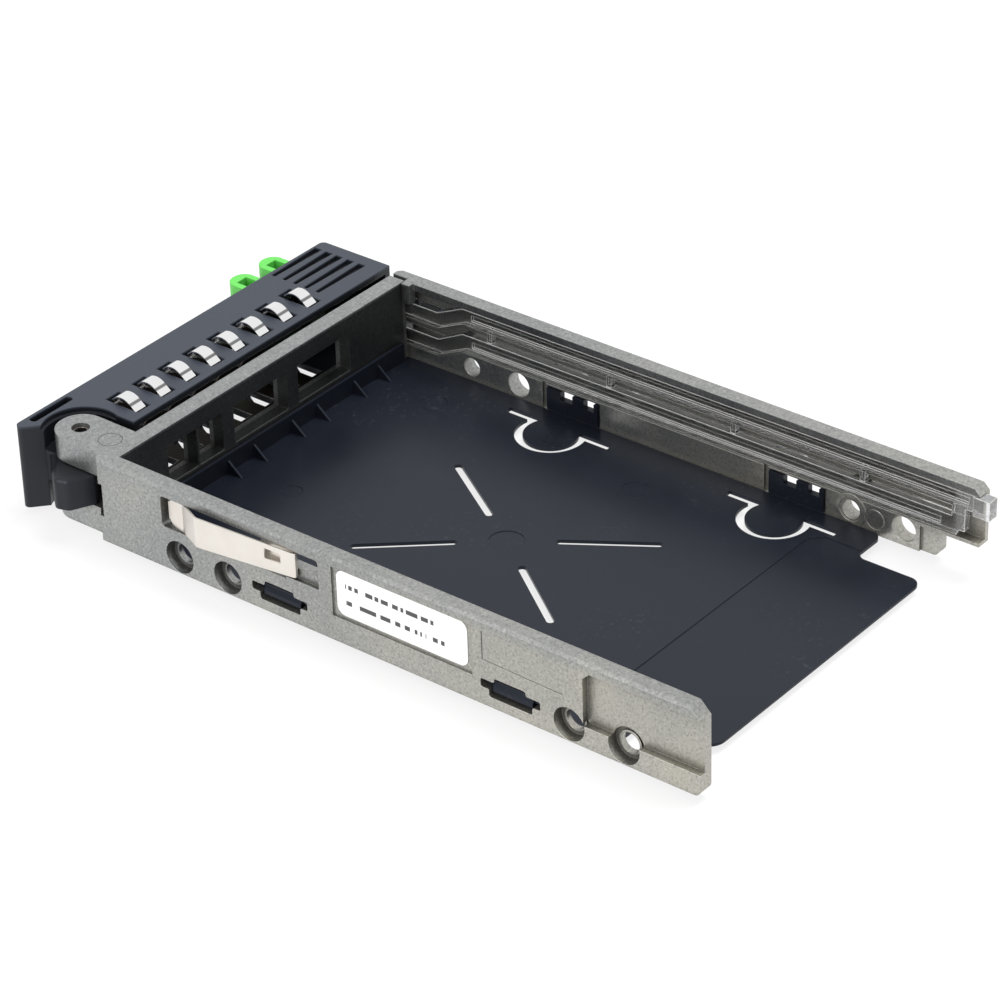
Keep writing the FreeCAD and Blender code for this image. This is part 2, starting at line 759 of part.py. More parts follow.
add(tray, "front_lip", "Y", wall_back + fit_gap, wall_back + fit_gap + 0.6, [
    rectangle(-tray_side + 1.5, tray_side - 1.5, 0, tray_lip)])
for name, side in (("gusset", gusset_first),
                   ("gusset_pair", gusset_first + gusset_gap - wall_window_step)):
    gusset = add(tray, name, "X", side, side + 0.4, [
        [(wall_back + fit_gap, 0.5), (wall_back + 3.8, 0.5), (wall_back + fit_gap, 3.4)]])
    row(tray, gusset, name + "_row", "X", wall_window_step * 3, 4)
tab_in = -bay_half + 0.3
tab_rows = [tab_front, tab_front + tab_step]
clip_rows = [clip_front, clip_front + clip_step]
add(tray, "tabs", "Z", 0, tab_high - 0.2, [
    rectangle(-rail_out + 0.5, tab_in, middle - tab_half + fit_gap, middle + tab_half - fit_gap)
    for middle in tab_rows])
cut(tray, "tab_relief", "Z", 1.2, tab_high, [
    rectangle(-rail_out + 0.4, tab_in - 1.2, middle - tab_half, middle + tab_half)
    for middle in tab_rows])
notches = []
for middle in tab_rows:
    notches.append(rectangle(tab_in - 1.5, tab_in + 1, middle - 2.4, middle + 0.1))
    notches.append(rectangle(tab_in - 1.5, tab_in + 1, middle + 2.4, middle + 4.5))
cut(tray, "tab_notches", "Z", tab_high - 1.7, tab_high, notches)
add(tray, "clip_posts", "Z", 0, 4.9, [
    rectangle(tray_side - 1.3, tray_side, middle - 2.7, middle + 2.6) for middle in clip_rows])
hook = add(tray, "clip_hook", "Y", clip_front - 3.7, clip_front + 3.8, [[
    (tray_side - 1.3, 2.1),
    (rail_out - 0.9, 2.1),
    (rail_out - 0.5, 2.6),
    (rail_out - 0.5, 3.3),
    (rail_out - 1.3, 4.3),
    (tray_side - 1.3, 4.3),
]])
row(tray, hook, "clip_hooks", "Y", clip_step, 2)
add(tray, "clip_ridges", "Z", 3.3, 4.3, [
    rectangle(tray_side - 0.6, rail_out - 1.0, middle - 5.2, middle + 5.2)
    for middle in clip_rows])
cut(tray, "omega_slots", "Z", -1, tray_thick + 1, [
    omega(1, clip_front + 0.8),
    omega(1, clip_front + clip_step + 0.5),
    omega(-1, clip_front),
    omega(-1, clip_front + clip_step),
])
ray_loops = []
ray_ends = []
for angle in rays:
    corners = []
    for reach, side in ((ray_in, -1), (ray_out, -1), (ray_out, 1), (ray_in, 1)):
        corners.append((
            centre_across + reach * cosine(angle) - ray_half * side * sine(angle),
            centre_along + reach * sine(angle) + ray_half * side * cosine(angle)))
    ray_loops.append(corners)
    for reach in (ray_in, ray_out):
        ray_ends.append(circle(centre_across + reach * cosine(angle),
                               centre_along + reach * sine(angle), ray_half - 0.002))
cut(tray, "ray_slots", "Z", -1, tray_thick + 1, ray_loops)
cut(tray, "ray_slot_ends", "Z", -1, tray_thick + 1, ray_ends)
cut(tray, "gate_marks", "Z", tray_thick - 0.1, tray_thick + 1, [
    circle(centre_across, centre_along, 2.9),
    circle(-21.5, 105.2, 2.9),
    circle(19.0, 105.4, 2.9),
    circle(-25.1, 16.5, 2.4),
    circle(-23.0, 60.0, 2.4),
    circle(9.8, 15.4, 1.8),
])
cut(tray, "rear_step", "Z", tray_thick - 0.12, tray_thick + 1, [[
    (-29.2, 92.5),
    (-27.2, 90.5),
    (30.0, 90.5),
    (30.0, 113.0),
    (-29.2, 113.0),
]])

# Lever: moulded channel, open to the rear, that swings on the pin
lever = body("lever")
add(lever, "block", "Z", 0, frame_height, [[
    (-rail_out, lever_front),
    (rail_out, lever_front),
    (rail_out, lever_front + 1.4),
    (pin_across + 2.95, pin_ahead - 5.25),
    (pin_across, pin_ahead - 5.25),
    (pin_across, pin_ahead),
    (lever_shell_end, pin_ahead),
    (lever_shell_end, lever_back),
    (-rail_out, lever_back),
]])
soften(lever, "front_corners", "Fillet", 1.0, lambda one, two: (
    upright(one, two, -rail_out, lever_front) or upright(one, two, rail_out, lever_front)))
soften(lever, "end_round", "Fillet", 0.8, lambda one, two: (
    upright(one, two, rail_out, lever_front + 1.4)))
cut(lever, "hollow", "Z", lever_skin, frame_height - lever_skin, [
    rectangle(-rail_out + lever_far_wall, lever_shell_end - 1.4, lever_front + lever_skin, 0)])
cut(lever, "ear_room", "Z", -1, frame_height + 1, [circle(pin_across, pin_ahead, ear_cut)])
add(lever, "hub", "Z", ear_low_top + hub_gap, ear_high_low - hub_gap, [[
    (lever_shell_end, lever_front + 1.4),
    (pin_across + 2.95, lever_front + 1.4),
    (pin_across + 2.95, pin_ahead - 4.6),
    (pin_across + 3.9, pin_ahead - 2.6),
    (pin_across + 6.9, pin_ahead - 0.4),
    (pin_across + 8.6, pin_ahead + 1.6),
    (pin_across + 7.9, pin_ahead + 3.9),
    (pin_across + 3.75, pin_ahead + 6.0),
    (pin_across + 0.5, pin_ahead + hub_radius),
    (pin_across - 2.4, pin_ahead + hub_radius - 0.8),
    (pin_across - hub_radius, pin_ahead + 0.6),
    (pin_across - hub_radius, pin_ahead - 3.0),
    (lever_shell_end, pin_ahead - 5.0),
]])
soften(lever, "nose_sides", "Fillet", 1.2, lambda one, two: (
    upright(one, two, pin_across + 8.6, pin_ahead + 1.6)
    or upright(one, two, pin_across + 7.9, pin_ahead + 3.9)
    or upright(one, two, pin_across + 6.9, pin_ahead - 0.4)
    or upright(one, two, pin_across + 3.9, pin_ahead - 2.6)))
soften(lever, "nose_round", "Fillet", 0.9, lambda one, two: (
    near(one.z, ear_high_low - hub_gap) and near(two.z, ear_high_low - hub_gap)
    and one.x > pin_across.value + 6.0 and two.x > pin_across.value + 6.0))
cut(lever, "pin_bore", "Z", -1, frame_height + 1, [
    circle(pin_across, pin_ahead, pin_radius + 0.04)])
windows = cut(lever, "top_window", "Z", frame_height - lever_skin - 0.1, frame_height + 1, [
    rectangle(finger_first - finger_slot / 2, finger_first + finger_slot / 2, -11.4, -4.4)])
row(lever, windows, "top_windows", "X", -finger_pitch * 7, 8)
windows = cut(lever, "low_window", "Z", -1, lever_skin + 0.1, [
    rectangle(finger_first - finger_slot / 2, finger_first + finger_slot / 2, -11.4, -4.4)])
row(lever, windows, "low_windows", "X", -finger_pitch * 7, 8)
slot_loops = []
for place in (-16.6, -14.2, -11.9, -9.4, -6.9):
    slot_loops.append([(-35.3, place - 0.75), (-23.5, place - 0.4), (-23.5, place + 0.4),
                       (-35.3, place + 0.75)])
cut(lever, "end_slots", "Z", frame_height - 0.9, frame_height + 1, slot_loops)
cut(lever, "ear_ledge", "Z", frame_height - 1.0, frame_height + 1, [
    circle(pin_across, pin_ahead, ear_cut + 0.4)])
cut(lever, "kidney", "Z", frame_height - 2.2, frame_height + 1, [
    rectangle(lever_shell_end + 0.2, pin_across + 3.2, lever_front + 0.6, lever_front + 2.1)])
soften(lever, "kidney_ends", "Fillet", 0.6, lambda one, two: (
    upright(one, two, lever_shell_end + 0.2, lever_front + 0.6)
    or upright(one, two, lever_shell_end + 0.2, lever_front + 2.1)
    or upright(one, two, pin_across + 3.2, lever_front + 0.6)
    or upright(one, two, pin_across + 3.2, lever_front + 2.1)))
cut(lever, "tongue_opening", "Y", lever_front - 1, lever_front + lever_skin + 0.1, [
    rectangle(tongue_far_side - fit_gap, tongue_near_side + fit_gap,
              tongue_low - fit_gap, tongue_high + fit_gap)])


def hexagon(across, up, reach):
    points = []
    for corner in range(6):
        angle = math.radians(60 * corner + 30)
        points.append((across + reach * math.cos(angle), up + reach * math.sin(angle)))
    return points


vent_loops = []
for level, shift in ((4.6, 0.0), (10.4, 3.0)):
    vent_loops.append(hexagon(16.5 + shift, as_size(level), 2.5))
vents = cut(lever, "vent_pair", "Y", lever_front - 1, lever_front + lever_skin + 0.1, vent_loops)
row(lever, vents, "vents", "X", -30.0, 6)

# Shield: folded spring steel inside the lever, with a finger through each window
shield = body("emi_shield")
shield_top = frame_height - lever_skin - 0.1
shield_low = lever_skin + 0.1
shield_front = lever_front + lever_skin + 0.1
add(shield, "channel", "X", finger_first - finger_pitch * 7 + 1.7 - finger_pitch / 2,
    lever_shell_end - 1.8, [[
        (-4.0, shield_top),
        (shield_front, shield_top),
        (shield_front, shield_low),
        (-4.0, shield_low),
        (-4.0, shield_low + sheet_thick),
        (shield_front + sheet_thick, shield_low + sheet_thick),
        (shield_front + sheet_thick, shield_top - sheet_thick),
        (-4.0, shield_top - sheet_thick),
    ]])
vents = cut(shield, "vent_pair", "Y", shield_front - 1, shield_front + 1, vent_loops)
row(shield, vents, "vents", "X", -30.0, 6)
slots = cut(shield, "finger_slots", "Z", 0, frame_height, [
    rectangle(finger_first - finger_wide / 2 - 0.2, finger_first + finger_wide / 2 + 0.2,
              -11.2, -4.7)])
row(shield, slots, "finger_slot_row", "X", -finger_pitch * 7, 8)
cut(shield, "tongue_room", "Y", shield_front - 1, shield_front + 0.7, [
    rectangle(-24, tongue_near_side + 0.4, shield_low + sheet_thick, shield_top - sheet_thick)])


def finger(up, turn):
    """A bowed strip that starts in the sheet, rises through the window and folds back in."""
    centre_up = up(shield_top - sheet_thick)
    radius_in = finger_radius - sheet_thick
    start = finger_centre.value - math.sqrt(finger_radius.value ** 2 - sheet_thick.value ** 2)
    crease = finger_centre + 1.9
    rise = math.sqrt(finger_radius.value ** 2 - 1.9 ** 2)
    rise_in = math.sqrt(radius_in.value ** 2 - 1.75 ** 2)
    side = 1 if turn else -1
    return [
        (-12.0, up(shield_top)),
        (loose(start), up(shield_top)),
        arc(finger_centre, centre_up, finger_radius, not turn),
        (crease, loose(centre_up.value + side * rise)),
        (-5.2, up(frame_height - 0.4)),
        (-4.9, up(shield_top + 0.05)),
        (-5.1, up(shield_top + 0.05)),
        (-5.4, up(frame_height - 0.5)),
        (crease - 0.15, loose(centre_up.value + side * rise_in)),
        arc(finger_centre, centre_up, radius_in, turn),
        (loose(finger_centre.value - radius_in.value), centre_up),
        (-12.0, centre_up),
    ]


finger_low = finger_first - finger_wide / 2
finger_high = finger_first + finger_wide / 2
top_finger = add(shield, "top_finger", "X", finger_low, finger_high, [
    finger(lambda height: height, True)])
row(shield, top_finger, "top_fingers", "X", -finger_pitch * 7, 8)
low_finger = add(shield, "low_finger", "X", finger_low, finger_high, [
    finger(lambda height: frame_height - height, False)])
row(shield, low_finger, "low_fingers", "X", -finger_pitch * 7, 8)

# Release tongues: two green mouldings that are pinched together


def tongue(name, low, high, flange_side, hook, seat):
    """A bowed grip outside the lever, a flange behind its front, a root and a hook arm."""
    made = body(name)
    behind = lever_front + lever_skin + fit_gap
    add(made, "grip", "Z", tongue_low, tongue_high, [rectangle(low, high, tongue_front, behind)])
    soften(made, "grip_front", "Fillet", 2.2, lambda one, two: (
        upright(one, two, low, tongue_front) or upright(one, two, high, tongue_front)))
    cut(made, "hollow", "Z", tongue_low + tongue_skin, tongue_high + 1, [
        rectangle(low + tongue_skin, high - tongue_skin, tongue_front + tongue_skin + 0.6,
                  lever_front - 0.4)])
    add(made, "flange", "Z", flange_low, flange_high, [
        rectangle(flange_side, high, behind, behind + 1.4)])
    add(made, "root", "Z", root_low, root_high, [
        rectangle(low, high, behind + 1.0, root_back)])
    side, hook_low, hook_high = hook
    add(made, "hook_arm", "Z", hook_low, hook_high, [
        rectangle(side, side + hook_wide, behind, hook_tip)])
    cut(made, "spring_seat", "X", seat, seat + seat_deep, [
        circle(coil_along, coil_up, coil_radius + wire_radius + 0.1)])
    return made


tongue_a_side = tongue_near_side - tongue_wide
tongue_b_side = tongue_far_side + tongue_wide
tongue_a = tongue("release_tongue_a", tongue_a_side, tongue_near_side, tongue_a_side,
                  (hook_a_side, hook_a_low, hook_a_high), tongue_a_side)
tongue_b = tongue("release_tongue_b", tongue_far_side, tongue_b_side, hook_b_side,
                  (hook_b_side, hook_b_low, hook_b_high), tongue_b_side - seat_deep)

# Latch spring: steel coil that pushes the tongues apart
coil = doc.addObject("Part::Helix", "latch_spring_path")
coil.Label = "latch_spring_path"
coil_from = tongue_b_side - seat_deep + 0.02
coil_to = tongue_a_side + seat_deep - 0.02
coil_long = coil_to - coil_from - wire_radius * 2
coil.setExpression("Radius", coil_radius.text)
coil.setExpression("Height", coil_long.text)
coil.setExpression("Pitch", (coil_long / 4).text)
ring = doc.addObject("Part::RegularPolygon", "latch_spring_wire")
ring.Label = "latch_spring_wire"
ring.Polygon = 6
ring.setExpression("Circumradius", wire_radius.text)
ring.Placement = FreeCAD.Placement(Vec(coil_radius.value, 0, 0), FreeCAD.Rotation(Vec(1, 0, 0), 90))
ring.setExpression("Placement.Base.x", coil_radius.text)
doc.recompute()
spring = doc.addObject("Part::Sweep", "latch_spring")
spring.Label = "latch_spring"
spring.Sections = [ring]
spring.Spine = (coil, [])
spring.Solid = True
spring.Frenet = True
spring.Placement = FreeCAD.Placement(Vec(0, 0, 0), FreeCAD.Rotation(Vec(0, 1, 0), 90))
spring.setExpression("Placement.Base.x", (coil_from + wire_radius).text)
spring.setExpression("Placement.Base.y", coil_along.text)
spring.setExpression("Placement.Base.z", coil_up.text)
doc.recompute()

nodes = [frame, pin, label, pipe, leaf, tray, lever, shield, tongue_a, tongue_b, spring]
os.makedirs("parts", exist_ok=True)
for node in nodes:
    shape = node.Shape
    if shape.isNull() or not shape.isValid() or shape.Volume <= 0:
        raise RuntimeError(node.Label + " is not a sound solid")
    if len(shape.Solids) != 1:
        raise RuntimeError(node.Label + " has %d solids" % len(shape.Solids))
    shape.exportStep("parts/%s.step" % node.Label)
    box = shape.BoundBox
    print(node.Label, round(shape.Volume, 1), "x %.2f %.2f y %.2f %.2f z %.2f %.2f" % (
        box.XMin, box.XMax, box.YMin, box.YMax, box.ZMin, box.ZMax))
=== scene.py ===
import math
import bmesh
import bpy
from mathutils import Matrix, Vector


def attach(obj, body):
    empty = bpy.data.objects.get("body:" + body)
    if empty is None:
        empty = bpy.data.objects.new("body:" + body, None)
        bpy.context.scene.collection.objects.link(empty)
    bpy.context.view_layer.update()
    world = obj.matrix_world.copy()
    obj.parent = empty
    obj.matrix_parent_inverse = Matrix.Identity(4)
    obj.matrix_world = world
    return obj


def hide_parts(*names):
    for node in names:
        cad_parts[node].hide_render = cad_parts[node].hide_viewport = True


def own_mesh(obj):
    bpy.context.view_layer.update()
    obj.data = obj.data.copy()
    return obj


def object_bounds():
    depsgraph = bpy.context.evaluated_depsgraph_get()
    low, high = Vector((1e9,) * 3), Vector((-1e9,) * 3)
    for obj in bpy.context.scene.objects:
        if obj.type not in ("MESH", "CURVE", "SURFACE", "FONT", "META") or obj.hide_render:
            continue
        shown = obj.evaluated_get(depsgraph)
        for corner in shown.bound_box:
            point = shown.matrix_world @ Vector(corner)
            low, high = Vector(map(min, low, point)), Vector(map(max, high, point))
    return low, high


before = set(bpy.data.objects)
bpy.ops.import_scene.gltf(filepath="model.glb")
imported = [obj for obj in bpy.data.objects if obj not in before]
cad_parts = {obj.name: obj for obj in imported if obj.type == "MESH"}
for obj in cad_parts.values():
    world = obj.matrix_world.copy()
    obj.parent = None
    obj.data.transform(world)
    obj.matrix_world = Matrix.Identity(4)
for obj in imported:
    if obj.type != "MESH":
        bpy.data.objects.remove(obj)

cad_box = [list(corner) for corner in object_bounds()]

# Frame casting: one die casting with two rails, the front wall and the lever's
# ears. It was tumbled after casting, so its skin is a fine grey grain with soft
# stains, a little brighter on worn edges, with painted shade in its corners.


def link(tree, source, target):
    tree.links.new(source, target)


def fill(tree, socket, value):
    """Gives a socket its value, which is another socket or a plain one."""
    if isinstance(value, bpy.types.NodeSocket):
        link(tree, value, socket)
    else:
        socket.default_value = value


def add(tree, kind, **values):
    node = tree.nodes.new(kind)
    for key, value in values.items():
        setattr(node, key, value)
    return node


def worked(tree, operation, *values):
    """One sum on two or three values, such as MULTIPLY or MAXIMUM."""
    node = add(tree, "ShaderNodeMath", operation=operation)
    for socket, value in zip(node.inputs, values):
        fill(tree, socket, value)
    return node.outputs[0]


def mixed(tree, factor, one, two):
    """A colour between two others."""
    factor_socket, first_colour, second_colour, colour_result = 0, 6, 7, 2
    node = add(tree, "ShaderNodeMix", data_type="RGBA")
    fill(tree, node.inputs[factor_socket], factor)
    fill(tree, node.inputs[first_colour], one)
    fill(tree, node.inputs[second_colour], two)
    return node.outputs[colour_result]


def spread(tree, value, low, high, start, stop):
    """Runs from start to stop while the value runs from low to high."""
    node = add(tree, "ShaderNodeMapRange")
    link(tree, value, node.inputs["Value"])
    node.inputs["From Min"].default_value = low
    node.inputs["From Max"].default_value = high
    node.inputs["To Min"].default_value = start
    node.inputs["To Max"].default_value = stop
    return node.outputs["Result"]


def own_place(tree):
    """The piece's own coordinates, as one vector and as X, Y and Z."""
    where = add(tree, "ShaderNodeTexCoord")
    parts = add(tree, "ShaderNodeSeparateXYZ")
    link(tree, where.outputs["Object"], parts.inputs["Vector"])
    return where.outputs["Object"], parts.outputs


def noise(tree, place, scale, detail, roughness=0.5):
    node = add(tree, "ShaderNodeTexNoise")
    link(tree, place, node.inputs["Vector"])
    fill(tree, node.inputs["Scale"], scale)
    node.inputs["Detail"].default_value = detail
    node.inputs["Roughness"].default_value = roughness
    return node.outputs["Fac"]


def new_group(name, inputs, outputs):
    tree = bpy.data.node_groups.new(name, "ShaderNodeTree")
    for label, value in inputs:
        socket = tree.interface.new_socket(label, in_out="INPUT", socket_type="NodeSocketFloat")
        socket.default_value = value
    for label, kind in outputs:
        tree.interface.new_socket(label, in_out="OUTPUT", socket_type=kind)
    return tree, add(tree, "NodeGroupInput").outputs, add(tree, "NodeGroupOutput").inputs


def soft_edge_group():
    """Rounds the look of a moulded or cast edge by a small radius, and masks it."""
    flat_face, sharp_edge = 0.995, 0.85
    tree, ins, outs = new_group("soft edge", [("Radius", 0.0002)],
                                [("Normal", "NodeSocketVector"), ("Edge", "NodeSocketFloat")])
    bevel = add(tree, "ShaderNodeBevel", samples=6)
    link(tree, ins["Radius"], bevel.inputs["Radius"])
    plain = add(tree, "ShaderNodeNewGeometry")
    dot = add(tree, "ShaderNodeVectorMath", operation="DOT_PRODUCT")
    link(tree, bevel.outputs["Normal"], dot.inputs[0])
    link(tree, plain.outputs["Normal"], dot.inputs[1])
    link(tree, bevel.outputs["Normal"], outs["Normal"])
    link(tree, spread(tree, dot.outputs["Value"], flat_face, sharp_edge, 0.0, 1.0), outs["Edge"])
    return tree


def grain_group():
    """Fine grain and wide soft stains on the piece's own coordinates."""
    tree, ins, outs = new_group("grain", [("Fine", 2500.0), ("Wide", 60.0)],
                                [("Grain", "NodeSocketFloat"), ("Stain", "NodeSocketFloat")])
    place = own_place(tree)[0]
    link(tree, noise(tree, place, ins["Fine"], 3.0, 0.6), outs["Grain"])
    link(tree, noise(tree, place, ins["Wide"], 5.0, 0.55), outs["Stain"])
    return tree


SOFT_EDGE = soft_edge_group()
GRAIN = grain_group()


def use_group(tree, group, **values):
    node = add(tree, "ShaderNodeGroup", node_tree=group)
    for key, value in values.items():
        node.inputs[key].default_value = value
    return node.outputs


def new_material(name):
    material = bpy.data.materials.new(name)
    material.use_nodes = True
    tree = material.node_tree
    return material, tree, tree.nodes["Principled BSDF"]


def bumped(tree, shader, height, strength, distance, normal):
    bump = add(tree, "ShaderNodeBump")
    bump.inputs["Strength"].default_value = strength
    bump.inputs["Distance"].default_value = distance
    link(tree, height, bump.inputs["Height"])
    link(tree, normal, bump.inputs["Normal"])
    link(tree, bump.outputs["Normal"], shader.inputs["Normal"])


def finish(node, material):
    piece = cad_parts[node]
    for slot in piece.material_slots:
        slot.link = "OBJECT"
        slot.material = material
    if not piece.material_slots:
        piece.data.materials.append(material)


def casting_material():
    cool_grey, warm_grey = (0.345, 0.358, 0.358, 1.0), (0.52, 0.50, 0.44, 1.0)
    stain_grey = (0.27, 0.28, 0.28, 1.0)
    dark_speck, light_speck = (0.13, 0.13, 0.12, 1.0), (0.72, 0.72, 0.69, 1.0)
    rubbed_metal = (0.66, 0.66, 0.64, 1.0)
    corner_shade = (0.08, 0.076, 0.066, 1.0)
    wall_shade, wall_shade_strength = (0.045, 0.047, 0.046, 1.0), 0.68
    corner_reach = 0.0025
    material, tree, shader = new_material("tumbled casting")
    grain = use_group(tree, GRAIN, Fine=1500.0, Wide=48.0)
    edge = use_group(tree, SOFT_EDGE, Radius=0.00022)
    place, along = own_place(tree)

    # The metal is warmer towards the rear, and less so on the rails' top faces.
    drift = worked(tree, "MULTIPLY_ADD", grain["Stain"], 0.12, along["Y"])
    warmth = worked(tree, "MULTIPLY", spread(tree, drift, 0.06, 0.17, 0.0, 1.0),
                    spread(tree, along["Z"], 0.0128, 0.0144, 1.0, 0.35))
    skin = mixed(tree, warmth, cool_grey, warm_grey)
    skin = mixed(tree, spread(tree, grain["Stain"], 0.38, 0.62, 0.35, 0.0), skin, stain_grey)
    speck = noise(tree, place, 2300.0, 2.0, 0.7)
    skin = mixed(tree, spread(tree, speck, 0.53, 0.67, 0.0, 0.44), skin, dark_speck)
    skin = mixed(tree, spread(tree, speck, 0.45, 0.33, 0.0, 0.32), skin, light_speck)
    skin = mixed(tree, spread(tree, edge["Edge"], 0.0, 1.0, 0.0, 0.15), skin, rubbed_metal)
    # Painted shade: corners and recesses, found by ambient occlusion, are painted darker; the
    # same hollows are also rougher.
    hollow = add(tree, "ShaderNodeAmbientOcclusion", samples=6, only_local=False)
    hollow.inputs["Distance"].default_value = corner_reach
    openness = hollow.outputs["AO"]
    skin = mixed(tree, spread(tree, openness, 0.88, 0.45, 0.0, 0.74), skin, corner_shade)

    # Painted shade: the inner face of the front wall, between the rails and under its top, is
    # painted dark.
    wall_shade_mask = wall_shade_strength
    across = worked(tree, "ABSOLUTE", along["X"])
    for value, low, high, start, stop in ((across, 0.0343, 0.0346, 1.0, 0.0),
                                          (along["Z"], 0.0144, 0.0147, 1.0, 0.0),
                                          (along["Y"], 0.0002, 0.0004, 0.0, 1.0),
                                          (along["Y"], 0.0030, 0.0040, 1.0, 0.0)):
        wall_shade_mask = worked(tree, "MULTIPLY", wall_shade_mask, spread(tree, value, low, high, start, stop))
    link(tree, mixed(tree, wall_shade_mask, skin, wall_shade), shader.inputs["Base Color"])

    shader.inputs["Metallic"].default_value = 1.0
    rough = worked(tree, "MAXIMUM", spread(tree, grain["Stain"], 0.3, 0.7, 0.33, 0.43),
                   spread(tree, openness, 0.90, 0.55, 0.30, 0.62))
    link(tree, rough, shader.inputs["Roughness"])
    bumped(tree, shader, grain["Grain"], 0.35, 0.00006, edge["Normal"])
    return material


finish("frame", casting_material())

# Hinge pin: a rolled spring steel pin through both ears, sunk a little below
# their faces and dark with oil.


def pin_material():
    oiled_steel, bare_steel = (0.20, 0.18, 0.16, 1.0), (0.42, 0.40, 0.38, 1.0)
    material, tree, shader = new_material("oiled pin steel")
    grain = use_group(tree, GRAIN, Fine=1800.0, Wide=300.0)
    edge = use_group(tree, SOFT_EDGE, Radius=0.0001)
    link(tree, mixed(tree, grain["Stain"], oiled_steel, bare_steel), shader.inputs["Base Color"])
    shader.inputs["Metallic"].default_value = 1.0
    shader.inputs["Roughness"].default_value = 0.34
    bumped(tree, shader, grain["Grain"], 0.2, 0.00002, edge["Normal"])
    return material


finish("hinge_pin", pin_material())

# Tray: a thin black moulding that closes the underside, clipped to the rails.
# It has the smooth skin of a polished mould, with a little dust on it.


def tray_material():
    black, blue_black = (0.004, 0.005, 0.008, 1.0), (0.012, 0.0145, 0.022, 1.0)
    dust = (0.040, 0.042, 0.048, 1.0)
    cool_gloss = (0.74, 0.84, 1.0, 1.0)
    material, tree, shader = new_material("smooth black moulding")
    grain = use_group(tree, GRAIN, Fine=1500.0, Wide=35.0)
    edge = use_group(tree, SOFT_EDGE, Radius=0.00012)
    place = own_place(tree)[0]
    settled = worked(tree, "MULTIPLY",
                     spread(tree, noise(tree, place, 1300.0, 3.0), 0.60, 0.70, 0.0, 1.0),
                     spread(tree, grain["Stain"], 0.50, 0.62, 0.0, 0.6))
    base = mixed(tree, grain["Stain"], black, blue_black)
    link(tree, mixed(tree, settled, base, dust), shader.inputs["Base Color"])
    link(tree, spread(tree, grain["Stain"], 0.3, 0.7, 0.24, 0.42), shader.inputs["Roughness"])
    shader.inputs["Specular IOR Level"].default_value = 0.25
    shader.inputs["Specular Tint"].default_value = cool_gloss
    bumped(tree, shader, grain["Grain"], 0.08, 0.00003, edge["Normal"])
    return material


finish("tray", tray_material())

# Light pipe: two clear bars joined by webs, one moulding that lies in the
# channel of the far rail and carries the light of the drive's lamps.


def pipe_material():
    clear, highlight_white = (0.95, 0.96, 0.97, 1.0), (0.92, 0.92, 0.90, 1.0)
    end_from, end_full, end_highlight_share = 0.1120, 0.1130, 0.15
    material, tree, shader = new_material("clear moulding")
    grain = use_group(tree, GRAIN, Fine=900.0, Wide=80.0)
    edge = use_group(tree, SOFT_EDGE, Radius=0.00028)
    shader.inputs["Base Color"].default_value = clear
    shader.inputs["Transmission Weight"].default_value = 1.0
    shader.inputs["IOR"].default_value = 1.40
    shader.inputs["Roughness"].default_value = 0.02
    bumped(tree, shader, grain["Stain"], 0.02, 0.00002, edge["Normal"])
    # Painted highlight: a pale half-metal shader whitens the edges and the pipe's end, standing
    # in for the light they catch.
    highlight_rim = add(tree, "ShaderNodeBsdfPrincipled")
    highlight_rim.inputs["Base Color"].default_value = highlight_white
    highlight_rim.inputs["Metallic"].default_value = 0.2
    highlight_rim.inputs["Roughness"].default_value = 0.2
    link(tree, edge["Normal"], highlight_rim.inputs["Normal"])
    along = own_place(tree)[1]
    painted_highlight = worked(tree, "MAXIMUM", spread(tree, edge["Edge"], 0.0, 0.8, 0.0, 0.85),
                      spread(tree, along["Y"], end_from, end_full, 0.0, end_highlight_share))
    blend = add(tree, "ShaderNodeMixShader")
    link(tree, painted_highlight, blend.inputs["Fac"])
    link(tree, shader.outputs["BSDF"], blend.inputs[1])
    link(tree, highlight_rim.outputs["BSDF"], blend.inputs[2])
    link(tree, blend.outputs["Shader"], tree.nodes["Material Output"].inputs["Surface"])
    return material


finish("light_pipe", pipe_material())

# Side leaf spring: a bent strip of rolled spring steel, with its foot in a
# pocket of the near rail, bowed out through the rail's window.


def leaf_material():
    dull_strip, bright_strip = (0.68, 0.63, 0.57, 1.0), (0.94, 0.90, 0.84, 1.0)
    material, tree, shader = new_material("rolled spring strip")
    grain = use_group(tree, GRAIN, Fine=1600.0, Wide=120.0)
    edge = use_group(tree, SOFT_EDGE, Radius=0.00008)
    link(tree, mixed(tree, grain["Stain"], dull_strip, bright_strip), shader.inputs["Base Color"])
    shader.inputs["Metallic"].default_value = 0.9
    shader.inputs["Roughness"].default_value = 0.30
    bumped(tree, shader, grain["Grain"], 0.1, 0.00002, edge["Normal"])
    return material


finish("side_leaf_spring", leaf_material())

# Label: white paper in the sunk field of the near rail, left without words,
# with two rows of short plain bars.


